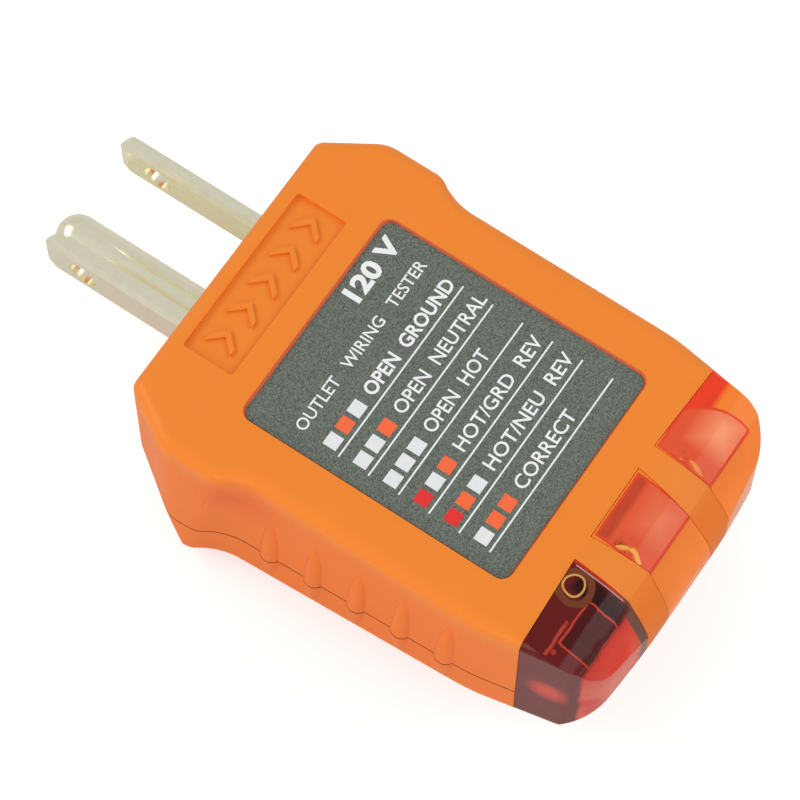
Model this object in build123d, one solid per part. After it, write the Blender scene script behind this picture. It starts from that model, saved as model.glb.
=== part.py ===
"""Plug-in outlet tester: an orange two-shell case on three prongs, with three indicator lights.

Everything is drawn with the prong face at y = 0 and the label face at z = 0. The prongs point
along +Y, the lights are at the -Y end, and the label faces +Z. The last step moves the whole
tester so that the origin is under the middle of its box, at its lowest point. Millimetres.
"""
from build123d import *
import os
from math import atan, cos, degrees, radians, sin

# Prongs, after the 15 A / 125 V grounding pattern
BLADE_SPACING = 12.7
BLADE_WIDTH = 6.35
BLADE_THICK = 1.52
BLADE_LENGTH = 17.2
BLADE_TOP_Z = -3.33
BLADE_HOLE_D = 3.2
BLADE_HOLE_Y = 12.6
PIN_D = 4.76
PIN_LENGTH = 21.6
PIN_DROP = 11.9
SEAT_DEEP = 0.6
SEAT_GAP = 0.04

# Case
HEAD_HALF = 19.5
GRIP_HALF = 17.85
CASE_LENGTH = 54.0
WALL = 2.0
BACK_Z_AT_FACE = -28.3
BACK_SLOPE = 0.176
SEAM_Z_AT_FACE = -20.0
SEAM_SLOPE = 0.14
SEAM_BEND_Y = -5.8
SEAM_RISE = 0.865
KNEE_Y = -51.1
KNEE_Z = -2.0
DROP_START_Y = -43.0
BOTTOM_ROUND = 2.3
TOP_ROUND = 1.35
SCOOP_R = 7.6
SCOOP_END_Y = -17.3
SCOOP_LEAN = 0.184
SCOOP_ARC = 64.0
SCOOP_CORNER = 2.3
SEAM_GAP = 0.16
FIT_GAP = 0.08

# Grip ribs, one at each place on both sides
RIB_PITCH = 5.15
RIB_FIRST_Y = -16.9
RIB_COUNT = 5
RIB_R = 1.25
RIB_SUNK = 0.65
RIB_UP = 14.6
RIB_DOWN = 7.5
RIB_LEAN = 3.3

# Label and emblem panel
LABEL_W = 25.0
LABEL_L = 30.2
LABEL_MID_Y = -25.55
LABEL_THICK = 0.16
LABEL_TOP_Z = -0.39
LABEL_CORNER = 1.1
EMBLEM_W = 19.6
EMBLEM_L = 5.8
EMBLEM_MID_Y = -4.6
EMBLEM_DEEP = 0.5
CHEVRONS = 5

# Lenses: plan places of the window edges at the top, the knee and the end
LENS_WALL = 1.1
LENS_FLOOR = 1.2
LENS_SKIRT_Z = -13.9
LENS_ROOM = [(16.2, -30.0), (16.2, -42.0), (15.1, -48.9), (12.2, -52.1), (5.0, -52.9)]
LENS_START_Y = -44.85
MID_LENS_HALF = (4.23, 3.5, 4.2)
SIDE_LENS_INNER = (6.9, 7.05, 7.3)
SIDE_LENS_SWEEP = 0.85

# Board, lamps and resistors
BOARD_TOP_Z = -14.9
BOARD_THICK = 1.0
BOARD_HALF = 13.0
BOARD_Y = (-48.9, -15.6)
LAMP_X = (-10.6, 0.0, 10.6)
LAMP_Y = -48.3
LAMP_D = 4.0
LAMP_BASE_Z = -12.8
LAMP_TOP_Z = -4.6
LEAD_R = 0.28
RESISTOR_X = (-8.0, 0.0, 8.0)
RESISTOR_Y = -27.5
RESISTOR_L = 6.3
RESISTOR_D = 2.3

# Screws that close the case from the back: (x, y, z under the head)
SCREWS = ((-13.4, -11.4, -22.6), (13.4, -11.4, -22.6), (0.0, -39.4, -18.0))
SCREW_D = 2.5
SCREW_L = 11.0
SCREW_HEAD_D = 4.4
SCREW_HEAD_H = 1.6

BLADE_X = BLADE_SPACING / 2
BLADE_MID_Z = BLADE_TOP_Z - BLADE_WIDTH / 2
PIN_Z = BLADE_MID_Z - PIN_DROP
CARRIER_HALF = 10.4
CARRIER_Z = (-22.4, -2.6)
CARRIER_DEEP = 9.0
BIG = 120.0

# Curve of the light end seen from the side: y, z, and how far its outward normal points up, in degrees
END_CURVE = [
    (KNEE_Y, KNEE_Z, 45.0),
    (-CASE_LENGTH, -8.5, 0.0),
    (-53.2, -13.2, -22.0),
    (-50.3, -17.4, -52.0),
    (-45.5, -20.3, -80.0),
]

# Plan of the case, right half, from the prongs to the lights: x, y and corner radius
HEAD_CORNERS = [(15.7, 0.2, 1.5), (HEAD_HALF, -5.8, 4.0)]
LIGHT_CORNERS = [(GRIP_HALF, -40.5, 24.0), (16.0, -52.9, 4.5), (5.5, -CASE_LENGTH, 24.0)]
BLOCK_CORNERS = HEAD_CORNERS + [(HEAD_HALF, -20.0, 0), (GRIP_HALF, -20.0, 0)] + LIGHT_CORNERS
INNER_CORNERS = HEAD_CORNERS + [(HEAD_HALF, -10.0, 3.0), (GRIP_HALF, -14.5, 7.0)] + LIGHT_CORNERS


def back_z(y):
    """Height of the sloping back face at y."""
    return BACK_Z_AT_FACE - BACK_SLOPE * y


def seam_z(y):
    """Height of the seam between the two shells at y; it climbs steeply beside the prongs."""
    return SEAM_Z_AT_FACE - SEAM_SLOPE * min(y, SEAM_BEND_Y) + SEAM_RISE * max(y - SEAM_BEND_Y, 0)


def mirrored_face(right_corners):
    """Flat face whose right half has these (x, y, radius) corners, from the prongs to the lights."""
    left = [(-x, y, r) for x, y, r in reversed(right_corners)]
    corners = right_corners + left
    loop = FilletPolyline([(x, y) for x, y, r in corners], radius=[r for *_, r in corners], close=True)
    return make_face(loop.edges())


def sunk(face, top, bottom):
    """The face's upright prism between two heights."""
    return extrude(Pos(0, 0, top) * face, amount=top - bottom, dir=(0, 0, -1))


def near_back(height):
    """Everything under a plane at this height above the back face and parallel to it."""
    block = Box(BIG, 3 * BIG, BIG, align=(Align.CENTER, Align.CENTER, Align.MAX))
    return Pos(0, 0, BACK_Z_AT_FACE + height) * Rot(-degrees(atan(BACK_SLOPE)), 0, 0) * block


def under_seam(lift=0.0):
    """Everything under the seam raised by this lift."""
    line = [(y, seam_z(y) + lift) for y in (4.0, SEAM_BEND_Y, -BIG)]
    loop = Polyline(*line, (-BIG, -BIG), (4.0, -BIG), close=True)
    return extrude(Plane.YZ * make_face(loop.edges()), amount=BIG / 2, both=True)


def side_profile(inset=0.0):
    """The case's outline seen from the side, drawn in by inset, as a slab across the whole width."""
    drawn = [(y + inset * cos(radians(a)), z - inset * sin(radians(a))) for y, z, a in END_CURVE]
    foot = (END_CURVE[-1][0], back_z(END_CURVE[-1][0]) + inset)
    with BuildLine(Plane.YZ) as line:
        Line((-inset, -inset), (DROP_START_Y, -inset))
        TangentArc((DROP_START_Y, -inset), drawn[0], tangent=(-1, 0))
        Spline(*drawn[:-1], foot, tangents=[(-0.55, -1), (1, -BACK_SLOPE)])
        Line(foot, (-inset, back_z(-inset) + inset))
        Line((-inset, back_z(-inset) + inset), (-inset, -inset))
    return extrude(make_face(line.line.edges()), amount=BIG / 2, both=True)


def scoop():
    """Cutter for the hollow shoulder between head and grip, right side; it leans with its depth."""
    mid_x = GRIP_HALF + SCOOP_R

    def on_arc(turn):
        return (mid_x - SCOOP_R * cos(radians(turn)), SCOOP_END_Y + SCOOP_R * sin(radians(turn)))

    arc_end = on_arc(SCOOP_ARC)
    clear_x, clear_y = HEAD_HALF + 6.5, -CASE_LENGTH + 18.0
    with BuildLine() as loop:
        ThreePointArc((GRIP_HALF, SCOOP_END_Y), on_arc(SCOOP_ARC / 2), arc_end)
        Polyline(arc_end, (clear_x, arc_end[1]), (clear_x, clear_y), (GRIP_HALF, clear_y),
                 (GRIP_HALF, SCOOP_END_Y))
    lift = 2.0
    plan = Pos(0, -SCOOP_LEAN * lift, lift) * make_face(loop.line.edges())
    return extrude(plan, amount=46.0, dir=(0, SCOOP_LEAN, -1))


def head_bevel():
    """Cutter for the sloped lower corner of the head under the climbing seam, right side."""
    drop = 0.35
    (front_x, front_y, _), (side_x, side_y, _) = HEAD_CORNERS
    front = Vector(front_x, front_y, seam_z(front_y) - drop)
    side = Vector(side_x, side_y, seam_z(side_y) - drop)
    inward = Vector(-1.2, 0, -6.0)
    outward = (side - front).cross(inward).normalized()
    return Plane(front, x_dir=side - front, z_dir=outward) * Box(
        BIG, BIG, BIG, align=(Align.CENTER, Align.CENTER, Align.MIN))


def outer_form():
    """The closed outer shape of the case, without ribs: head, hollow shoulders, grip, sloping back."""
    block = sunk(mirrored_face(BLOCK_CORNERS), 0, -40)
    for cutter in (scoop(), mirror(scoop(), about=Plane.YZ)):
        block -= cutter
    corners = [e for e in block.edges() if abs(abs(e.center().X) - HEAD_HALF) < 0.05
               and e.length > 30 and abs((e % 0.5).Y) > 0.05]
    block = fillet(corners, SCOOP_CORNER)
    block = fillet(block.faces().sort_by(Axis.Z)[-1].edges(), TOP_ROUND)
    block -= near_back(0)
    back = block.faces().filter_by(GeomType.PLANE).filter_by(lambda f: f.normal_at().Z < -0.9)
    block = fillet(back.sort_by(SortBy.AREA)[-1].edges(), BOTTOM_ROUND)
    for cutter in (head_bevel(), mirror(head_bevel(), about=Plane.YZ)):
        block -= cutter
    return block & side_profile()


def grip_rib(side, y):
    """A raised rib with two pointed ends, half buried in the side wall and widest at the seam."""
    with BuildSketch(Plane.XZ) as half:
        with BuildLine():
            ThreePointArc((RIB_R, 0), (RIB_R * 0.75, RIB_UP / 2), (0, RIB_UP))
            Line((0, RIB_UP), (0, -RIB_DOWN))
            ThreePointArc((0, -RIB_DOWN), (RIB_R * 0.75, -RIB_DOWN / 2), (RIB_R, 0))
        make_face()
    rib = revolve(half.sketch, axis=Axis.Z)
    return Pos(side * (GRIP_HALF - RIB_SUNK), y, seam_z(y)) * Rot(RIB_LEAN, 0, 0) * rib


def grip_ribs():
    """All the ribs of both sides, ended where the side wall turns under."""
    places = [RIB_FIRST_Y - RIB_PITCH * i for i in range(RIB_COUNT)]
    foot = near_back(BOTTOM_ROUND)
    return [grip_rib(side, y) - foot for side in (-1, 1) for y in places]


def lens_plan(index, gap=0.0):
    """Plan face of one lens opening: 0 and 2 are the sides, 1 the middle; gap draws it in."""
    far_y = -CASE_LENGTH - 3
    if index == 1:
        top, knee, end = (half - gap for half in MID_LENS_HALF)
        right = [(top, LENS_START_Y - gap), (knee, KNEE_Y), (end, far_y)]
        points = right + [(-x, y) for x, y in reversed(right)]
    else:
        side = index - 1
        top, knee, end = (inner + gap for inner in SIDE_LENS_INNER)
        out = HEAD_HALF + 5
        sweep_y = LENS_START_Y - SIDE_LENS_SWEEP - gap
        right = [(top, LENS_START_Y - gap), (knee, KNEE_Y), (end, far_y), (out, far_y)]
        points = [(side * x, y) for x, y in right + [(out, sweep_y)]]
    return make_face(Polyline(points, close=True).edges())


def lens_prism(index, gap=0.0):
    """Upright prism of one lens opening, from above the case down past the seam."""
    return sunk(lens_plan(index, gap), 5, -40)


def cavity(wall):
    """The space left inside the case by walls of this thickness."""
    plan = offset(mirrored_face(INNER_CORNERS), amount=-wall, kind=Kind.INTERSECTION)
    return sunk(plan, 0, -40) & side_profile(wall)


def seam_ring(outer_wall, inner_wall, height):
    """Band between two wall depths that stands this high on the seam."""
    band = under_seam(height) - under_seam(-0.5)
    plan = mirrored_face(INNER_CORNERS)
    outer = offset(plan, amount=-outer_wall, kind=Kind.INTERSECTION)
    inner = offset(plan, amount=-inner_wall, kind=Kind.INTERSECTION)
    return sunk(outer, 0, -40) - sunk(inner, 0, -40) & band


def carrier_window(gap):
    """Block that cuts the carrier's opening out of the prong wall."""
    height = CARRIER_Z[1] - CARRIER_Z[0]
    mid_z = (CARRIER_Z[1] + CARRIER_Z[0]) / 2
    return Pos(0, 0, mid_z) * Box(2 * (CARRIER_HALF + gap), 2 * WALL + 4, height + 2 * gap)


def rounded_plate(width, length, corner, mid_y, top, bottom):
    """Flat plate with round corners, parallel to the label face."""
    plan = Pos(0, mid_y) * RectangleRounded(width, length, corner)
    return sunk(plan, top, bottom)


def chevron(x):
    """One raised arrow of the emblem, pointing along the panel."""
    half = 1.5
    arm = 0.75
    points = [
        (x - 0.9, half),
        (x - 0.9 + arm, half),
        (x + 0.9 + arm / 2, 0),
        (x - 0.9 + arm, -half),
        (x - 0.9, -half),
        (x + 0.9 - arm / 2, 0),
    ]
    plan = Pos(0, EMBLEM_MID_Y) * make_face(Polyline(points, close=True).edges())
    return sunk(plan, -EMBLEM_DEEP + 0.32, -EMBLEM_DEEP - 0.2)


def front_bosses():
    """Posts under the label face that the screws cut into."""
    bosses = []
    for x, y, head_z in SCREWS:
        foot = seam_z(y) + 0.25
        post = Pos(x, y, 0) * sunk(Circle(2.75), -WALL + 0.1, foot)
        pilot = Pos(x, y, 0) * sunk(Circle(SCREW_D / 2 + 0.02), head_z + SCREW_L + 0.6, foot - 1)
        bosses.append((post, pilot))
    return bosses


def front_shell(form, inside):
    """Label-side shell: recesses, three lens openings with posts between them, screw bosses."""
    shell = (form - inside) - under_seam(SEAM_GAP / 2)
    shell -= seam_ring(1.05, WALL + 0.2, 1.2)
    for post, pilot in front_bosses():
        shell += post
        shell -= pilot
    for side in (-1, 1):
        shell += baffle(side)
    for index in range(3):
        shell -= lens_prism(index)
    shell -= rounded_plate(LABEL_W + 0.4, LABEL_L + 0.5, LABEL_CORNER + 0.2, LABEL_MID_Y, 1,
                           LABEL_TOP_Z - LABEL_THICK)
    shell -= rounded_plate(EMBLEM_W, EMBLEM_L, 0.4, EMBLEM_MID_Y, 1, -EMBLEM_DEEP)
    step = 3.6
    for i in range(CHEVRONS):
        shell += chevron(step * (i - (CHEVRONS - 1) / 2))
    return shell - carrier_window(FIT_GAP)


def baffle(side):
    """Rib under a post that keeps one light out of the next chamber."""
    inner = (MID_LENS_HALF[0] + SIDE_LENS_INNER[0]) / 2
    deep = seam_z(LENS_START_Y) + 0.4
    wall = Pos(side * inner, -47.3, 0) * sunk(Rectangle(1.2, 6.0), -1.0, deep)
    return wall & side_profile(0.7)


def back_shell(form, inside):
    """Back shell: sloping back, tongue inside the seam and sleeves for the screws."""
    shell = (form - inside) & under_seam(-SEAM_GAP / 2)
    light_end = Box(BIG, BIG, BIG, align=(Align.CENTER, Align.MAX, Align.CENTER))
    shell += seam_ring(1.15, WALL + 0.1, 1.0) - Pos(0, LENS_START_Y + 0.6, 0) * light_end
    for index in range(3):
        shell -= lens_prism(index) - near_back(LENS_FLOOR - FIT_GAP)
    for x, y, head_z in SCREWS:
        top = seam_z(y) - 0.1
        sleeve = Pos(x, y, 0) * (sunk(Circle(3.0), top, -40))
        shell += sleeve & form
        shell -= Pos(x, y, 0) * sunk(Circle(SCREW_D / 2 + 0.15), top + 1, -40)
        shell -= Pos(x, y, 0) * sunk(Circle(SCREW_HEAD_D / 2 + 0.3), head_z, -40)
    return shell - carrier_window(FIT_GAP)


def lens(form, index):
    """Clear cup that fills one opening, flush with the case outside and hollow inside.

    Under LENS_SKIRT_Z only its outer skin goes on, past the board, down to the floor of the case.
    """
    cup = form & lens_prism(index, FIT_GAP)
    cup -= near_back(LENS_FLOOR)
    loop = LENS_ROOM + [(-x, y) for x, y in reversed(LENS_ROOM)]
    room = sunk(make_face(Polyline(loop, close=True).edges()), 5, -40) & side_profile(LENS_WALL)
    below = Box(BIG, BIG, BIG, align=(Align.CENTER, Align.CENTER, Align.MAX))
    skirt_room = room & (Pos(0, 0, LENS_SKIRT_Z) * below)
    return cup - (room & lens_prism(index, LENS_WALL + FIT_GAP)) - skirt_room


def blade(side):
    """Flat contact blade: drilled tip outside, neck in the carrier and a foot through the board."""
    top, bottom = BLADE_TOP_Z, BLADE_TOP_Z - BLADE_WIDTH
    neck_top, neck_bottom = top - 1.0, bottom + 1.0
    foot_y = (-19.4, -16.8)
    seat = -SEAT_DEEP
    outline = FilletPolyline(
        (seat, top), (BLADE_LENGTH, top), (BLADE_LENGTH, bottom), (seat, bottom), (seat, neck_bottom),
        (foot_y[1], neck_bottom), (foot_y[1], BOARD_TOP_Z - BOARD_THICK - 0.4),
        (foot_y[0], BOARD_TOP_Z - BOARD_THICK - 0.4), (foot_y[0], neck_top), (seat, neck_top),
        radius=[0, 1.5, 1.5, 0, 0, 0.8, 0, 0, 1.2, 0], close=True,
    )
    plate = extrude(Plane.YZ * make_face(outline.edges()), amount=BLADE_THICK / 2, both=True)
    tip = plate.edges().filter_by(Axis.Z).sort_by(Axis.Y)[-2:]
    plate = chamfer(tip, 0.35, 0.9)
    hole = Pos(0, BLADE_HOLE_Y, BLADE_MID_Z) * Rot(0, 90, 0) * Cylinder(BLADE_HOLE_D / 2, 10)
    return Pos(side * BLADE_X, 0, 0) * (plate - hole)


def ground_pin():
    """Round pin with a domed tip, a thinner shank in the carrier and a riveted end."""
    r = PIN_D / 2
    stops = [(2.0, 0, -CARRIER_DEEP), (1.2, -CARRIER_DEEP, -10.3), (1.75, -10.3, -10.9)]
    body = round_bar(r, 0, PIN_LENGTH - r) + Pos(0, PIN_LENGTH - r, PIN_Z) * Sphere(r)
    for radius, y1, y0 in stops:
        body += round_bar(radius, y0, y1)
    return body


def round_bar(radius, y0, y1):
    """Cylinder along Y on the ground pin's axis."""
    return Pos(0, (y0 + y1) / 2, PIN_Z) * Rot(90, 0, 0) * Cylinder(radius, y1 - y0)


def ground_tab():
    """Brass strip riveted to the ground pin and bent on to the board."""
    thick = 0.8
    y1 = -9.3
    top = BOARD_TOP_Z + thick
    foot_z = PIN_Z - 2.3
    plate = Pos(0, y1 - thick / 2, (top + foot_z) / 2) * Box(4.4, thick, top - foot_z)
    plate -= round_bar(1.25, y1 - 3, y1 + 3)
    shelf = Pos(0, (y1 - 18.0) / 2, top - thick / 2) * Box(3.0, 18.0 + y1, thick)
    return plate + shelf


def prong_carrier():
    """Insulating block that holds the three prongs square to the prong face."""
    height = CARRIER_Z[1] - CARRIER_Z[0]
    mid_z = (CARRIER_Z[0] + CARRIER_Z[1]) / 2
    block = Pos(0, -CARRIER_DEEP / 2, mid_z) * Box(2 * CARRIER_HALF, CARRIER_DEEP, height)
    flange = Pos(0, -WALL - 2 * FIT_GAP - 0.9, mid_z) * Box(2 * CARRIER_HALF + 2.6, 1.8, height + 0.4)
    block += flange
    for side in (-1, 1):
        slot = Box(BLADE_THICK + 0.04, 4 * CARRIER_DEEP, BLADE_WIDTH - 1.96)
        block -= Pos(side * BLADE_X, 0, BLADE_MID_Z) * slot
        seat = Box(BLADE_THICK + 2 * SEAT_GAP, 2 * SEAT_DEEP, BLADE_WIDTH + 2 * SEAT_GAP)
        block -= Pos(side * BLADE_X, 0, BLADE_MID_Z) * seat
    return block - round_bar(2.02, -20, 20) - round_bar(PIN_D / 2 + SEAT_GAP, -SEAT_DEEP, 1)


def board_holes():
    """Centres of every lead hole, first the resistors', then the lamps'."""
    reach = RESISTOR_L / 2 + 1.6
    resistors = [(x, RESISTOR_Y + end * reach) for x in RESISTOR_X for end in (-1, 1)]
    lamps = [(x + end * 0.8, LAMP_Y) for x in LAMP_X for end in (-1, 1)]
    return resistors, lamps


def circuit_board():
    """Board under the lamps, with slots for the blades' feet and a hole for the screw sleeve."""
    y0, y1 = BOARD_Y
    corners = [(BOARD_HALF, y1, 0.6), (BOARD_HALF, y0 + 2.5, 1.0), (BOARD_HALF - 2.5, y0, 1.0)]
    board = sunk(mirrored_face(corners), BOARD_TOP_Z, BOARD_TOP_Z - BOARD_THICK)
    for side in (-1, 1):
        slot = Pos(side * BLADE_X, -18.1, BOARD_TOP_Z) * Box(BLADE_THICK + 0.3, 2.9, 4)
        board -= slot
    resistors, lamps = board_holes()
    for x, y in resistors + lamps:
        board -= Pos(x, y, BOARD_TOP_Z) * Cylinder(LEAD_R + 0.08, 4)
    x, y, _ = SCREWS[2]
    return board - Pos(x, y, BOARD_TOP_Z) * Cylinder(3.3, 4)


def lamp_glass(x):
    """Thin glass bulb with a drawn tip, open only where its two leads come out."""
    r = LAMP_D / 2
    base, top = LAMP_BASE_Z, LAMP_TOP_Z
    skin = 0.3
    bulb = revolve(bulb_profile(r, base, top, 1.1), axis=Axis.Z)
    bulb -= revolve(bulb_profile(r - skin, base + 1.4, top - skin, 0.0), axis=Axis.Z)
    for end in (-1, 1):
        bulb -= Pos(end * 0.8, 0, base) * Cylinder(LEAD_R + 0.02, 6)
    return Pos(x, LAMP_Y, 0) * bulb


def bulb_profile(r, base, top, tip):
    """Half outline of a bulb: a pressed foot, straight sides, a round shoulder and a tip."""
    with BuildSketch(Plane.XZ) as half:
        with BuildLine():
            Line((0, base), (r * 0.8, base))
            Line((r * 0.8, base), (r, base + 0.5))
            Line((r, base + 0.5), (r, top - r))
            Spline((r, top - r), (r * 0.62, top - r * 0.22), (0, top + tip), tangents=[(0, 1), (-0.5, 0.5)])
            Line((0, top + tip), (0, base))
        make_face()
    return half.sketch


def lamp_electrodes(x):
    """Two rod electrodes in the gas, each in one piece with its lead."""
    foot = BOARD_TOP_Z - BOARD_THICK - 0.5
    rods = []
    for end in (-1, 1):
        lead = Pos(x + end * 0.8, LAMP_Y, 0) * sunk(Circle(LEAD_R), LAMP_BASE_Z + 2.2, foot)
        rod = Pos(x + end * 0.8, LAMP_Y, 0) * sunk(Circle(0.45), LAMP_BASE_Z + 6.4, LAMP_BASE_Z + 2.2)
        rods.append(lead + rod)
    return Compound(children=rods)


def resistor_body(x):
    """Moulded body with thicker ends, lying just above the board."""
    half, r = RESISTOR_L / 2, RESISTOR_D / 2
    with BuildSketch(Plane.XY) as outline:
        with BuildLine():
            Polyline(
                (0, -half), (r * 0.8, -half), (r, -half + 0.3), (r, -half + 1.3),
                (r * 0.82, -half + 1.8), (r * 0.82, half - 1.8), (r, half - 1.3),
                (r, half - 0.3), (r * 0.8, half), (0, half), close=True
            )
        make_face()
    body = revolve(outline.sketch, axis=Axis.Y)
    return Pos(x, RESISTOR_Y, BOARD_TOP_Z + r + 0.2) * body


def resistor_leads():
    """Bent wires between the resistors' ends and the board."""
    z = BOARD_TOP_Z + RESISTOR_D / 2 + 0.2
    foot = BOARD_TOP_Z - BOARD_THICK - 0.5
    wires = []
    for x in RESISTOR_X:
        for end in (-1, 1):
            start = RESISTOR_Y + end * RESISTOR_L / 2
            turn = start + end * 1.6
            path = FilletPolyline((x, start, z), (x, turn, z), (x, turn, foot), radius=0.8)
            section = Plane(origin=path @ 0, z_dir=path % 0) * Circle(LEAD_R)
            wires.append(sweep(section, path=path))
    return Compound(children=wires)


def solder_joints():
    """Small cones of solder round every lead under the board."""
    resistors, lamps = board_holes()
    z = BOARD_TOP_Z - BOARD_THICK - 0.2
    cone = Cone(0.4, 0.75, 0.4) - Cylinder(LEAD_R + 0.01, 2)
    return Compound(children=[Pos(x, y, z) * cone for x, y in resistors + lamps])


def housing_screw(place):
    """Self-tapping pan-head screw with a cross recess, driven in from the back."""
    x, y, head_z = place
    shank = sunk(Circle(SCREW_D / 2), SCREW_L, 0)
    tip = Pos(0, 0, SCREW_L + 0.25) * Cone(SCREW_D / 2, SCREW_D / 4, 0.5)
    head = sunk(Circle(SCREW_HEAD_D / 2), 0, -SCREW_HEAD_H)
    head = fillet(head.faces().sort_by(Axis.Z)[0].edges(), 0.7)
    recess = Pos(0, 0, -SCREW_HEAD_H) * (Box(2.6, 0.6, 2.0) + Box(0.6, 2.6, 2.0))
    return Pos(x, y, head_z) * (shank + tip + head - recess)


def face_label():
    """Printed plate that lies in the recess of the label face."""
    return rounded_plate(LABEL_W, LABEL_L, LABEL_CORNER, LABEL_MID_Y, LABEL_TOP_Z,
                         LABEL_TOP_Z - LABEL_THICK)


def make_nodes():
    """Every piece of the tester by name, still with the prong face at y = 0."""
    form = outer_form()
    ribbed = form
    for rib in grip_ribs():
        ribbed += rib
    inside = cavity(WALL)
    blades = {side: blade(side) for side in (-1, 1)}
    pin = ground_pin()
    nodes = {
        "front_shell": front_shell(ribbed, inside),
        "back_shell": back_shell(ribbed, inside),
        "face_label": face_label(),
        "red_lens": lens(form, 0),
        "middle_amber_lens": lens(form, 1),
        "side_amber_lens": lens(form, 2),
        "prong_carrier": prong_carrier(),
        "neutral_blade": blades[-1],
        "hot_blade": blades[1],
        "ground_pin": pin,
        "ground_tab": ground_tab(),
        "circuit_board": circuit_board(),
        "resistor_leads": resistor_leads(),
        "solder_joints": solder_joints(),
        "housing_screws": Compound(children=[housing_screw(place) for place in SCREWS]),
    }
    for name, x in zip(("red", "middle", "side"), LAMP_X):
        nodes[f"{name}_lamp_glass"] = lamp_glass(x)
        nodes[f"{name}_lamp_electrodes"] = lamp_electrodes(x)
    for number, x in enumerate(RESISTOR_X, start=1):
        nodes[f"resistor_{number}"] = resistor_body(x)
    return nodes


def main():
    nodes = make_nodes()
    box = Compound(children=[piece.moved(Location()) for piece in nodes.values()]).bounding_box()
    to_row_frame = Pos(0, -(box.min.Y + box.max.Y) / 2, -box.min.Z)
    print("shift", to_row_frame.position)
    os.makedirs("parts", exist_ok=True)
    for name, piece in nodes.items():
        export_step(to_row_frame * piece, f"parts/{name}.step")


main()
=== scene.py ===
"""Looks for a plug-in outlet tester: a finish for every moulded and metal piece, the lamp marks that show
in its lenses, the printed legend on its label, and a pale studio."""
from collections import namedtuple
from math import radians

import bmesh
import bpy
from bpy.props import FloatProperty, FloatVectorProperty, PointerProperty
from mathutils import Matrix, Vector


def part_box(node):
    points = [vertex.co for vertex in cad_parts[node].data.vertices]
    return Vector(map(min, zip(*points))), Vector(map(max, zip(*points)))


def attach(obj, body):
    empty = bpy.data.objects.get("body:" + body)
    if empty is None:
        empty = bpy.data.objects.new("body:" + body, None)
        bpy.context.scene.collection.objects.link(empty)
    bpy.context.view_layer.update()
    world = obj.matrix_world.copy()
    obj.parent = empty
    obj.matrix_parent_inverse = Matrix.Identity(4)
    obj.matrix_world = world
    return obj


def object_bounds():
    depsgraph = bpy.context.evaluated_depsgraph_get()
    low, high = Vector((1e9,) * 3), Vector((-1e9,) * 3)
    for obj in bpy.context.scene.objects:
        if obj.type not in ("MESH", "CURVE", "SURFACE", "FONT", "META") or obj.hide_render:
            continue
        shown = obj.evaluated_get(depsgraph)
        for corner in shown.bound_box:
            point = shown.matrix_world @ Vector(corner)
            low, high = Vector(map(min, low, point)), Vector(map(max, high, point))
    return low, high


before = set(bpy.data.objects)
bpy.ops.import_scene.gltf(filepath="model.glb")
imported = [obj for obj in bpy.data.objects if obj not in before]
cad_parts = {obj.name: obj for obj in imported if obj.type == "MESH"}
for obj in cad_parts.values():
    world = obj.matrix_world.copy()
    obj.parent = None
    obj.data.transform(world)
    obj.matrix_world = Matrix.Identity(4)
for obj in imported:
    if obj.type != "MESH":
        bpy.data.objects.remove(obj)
CAD_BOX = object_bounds()

bl_info = {
    "name": "Outlet tester finishes",
    "version": (1, 0, 0),
    "blender": (4, 5, 0),
    "location": "View3D > Sidebar > Tester",
    "description": "Materials, printed legend and studio for a plug-in outlet tester",
    "category": "Object",
}

MM = 0.001
LABEL_LOW, LABEL_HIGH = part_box("face_label")
SHELL_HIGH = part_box("front_shell")[1]
FACE_Z = SHELL_HIGH.z
PRONG_Y = SHELL_HIGH.y

# Marks on a surface, in millimetres: x from the middle of the case, y from the prong face along the case,
# z up from the label face, and the softness of the border
Patch = namedtuple("Patch", "x y half_x half_y soft")
Spot = namedtuple("Spot", "x y z radius soft")

# Seam between the shells: its bend, and its slopes on both sides of it
SEAM_BEND_Y = -5.8
SEAM_BEND_Z = -19.188
SEAM_SLOPE = 0.14
SEAM_RISE = 0.865
SEAM_LINE = 0.30

# Moulded case: painted shade on its side walls away from the label face and in its shoulders, painted light
# on the lip of the label recess, the tone of the seam, and where they lie
SIDE_SHADE_TONE = (0.87, 0.190, 0.008, 1.0)
SIDE_SHADE_FROM, SIDE_SHADE_FULL = -0.9, -4.0
SHOULDER_SHADE_TONE = (0.80, 0.105, 0.006, 1.0)
SHOULDER_SHADE = Spot(18.6, -14.0, -5.5, 2.6, 3.0)
LIT_LIP_TONE = (0.93, 0.245, 0.110, 1.0)
LABEL_RECESS = Patch(0.0, -25.55, 12.85, 15.5, 0.03)
LIP_TOP, LIP_FULL = -0.02, -0.06
LIP_FOOT, LIP_END = -0.70, -0.90
SEAM_TONE = (0.42, 0.045, 0.006, 1.0)

# Amber lenses: the middle lines of both, then marks with x from the middle line
MIDDLE_AMBER_X, SIDE_AMBER_X = 0.0, 10.9
AMBER_WINDOW = Patch(0.0, -48.2, 3.7, 3.0, 0.06)
# Painted light: a soft pale patch inside the window
AMBER_LIGHT_POOL = Patch(1.2, -49.3, 1.85, 1.6, 1.3)
AMBER_DEEP = Patch(0.0, -45.6, 3.7, 0.75, 0.25)
AMBER_WIRES = Spot(-3.7, -47.6, -0.4, 1.6, 0.5)
AMBER_GLINT = Spot(-4.3, -48.4, -0.5, 1.7, 0.5)
AMBER_ROUND = Spot(-3.2, -50.6, -0.5, 6.6, 0.06)
AMBER_STRIP = Patch(2.2, -46.0, 4.3, 1.35, 0.3)
STRIP_FULL, STRIP_END = -1.8, -3.4
AMBER_FRAME_LINE = 0.26
# Painted glow of the amber lenses
AMBER_GLOW = 0.16

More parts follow.
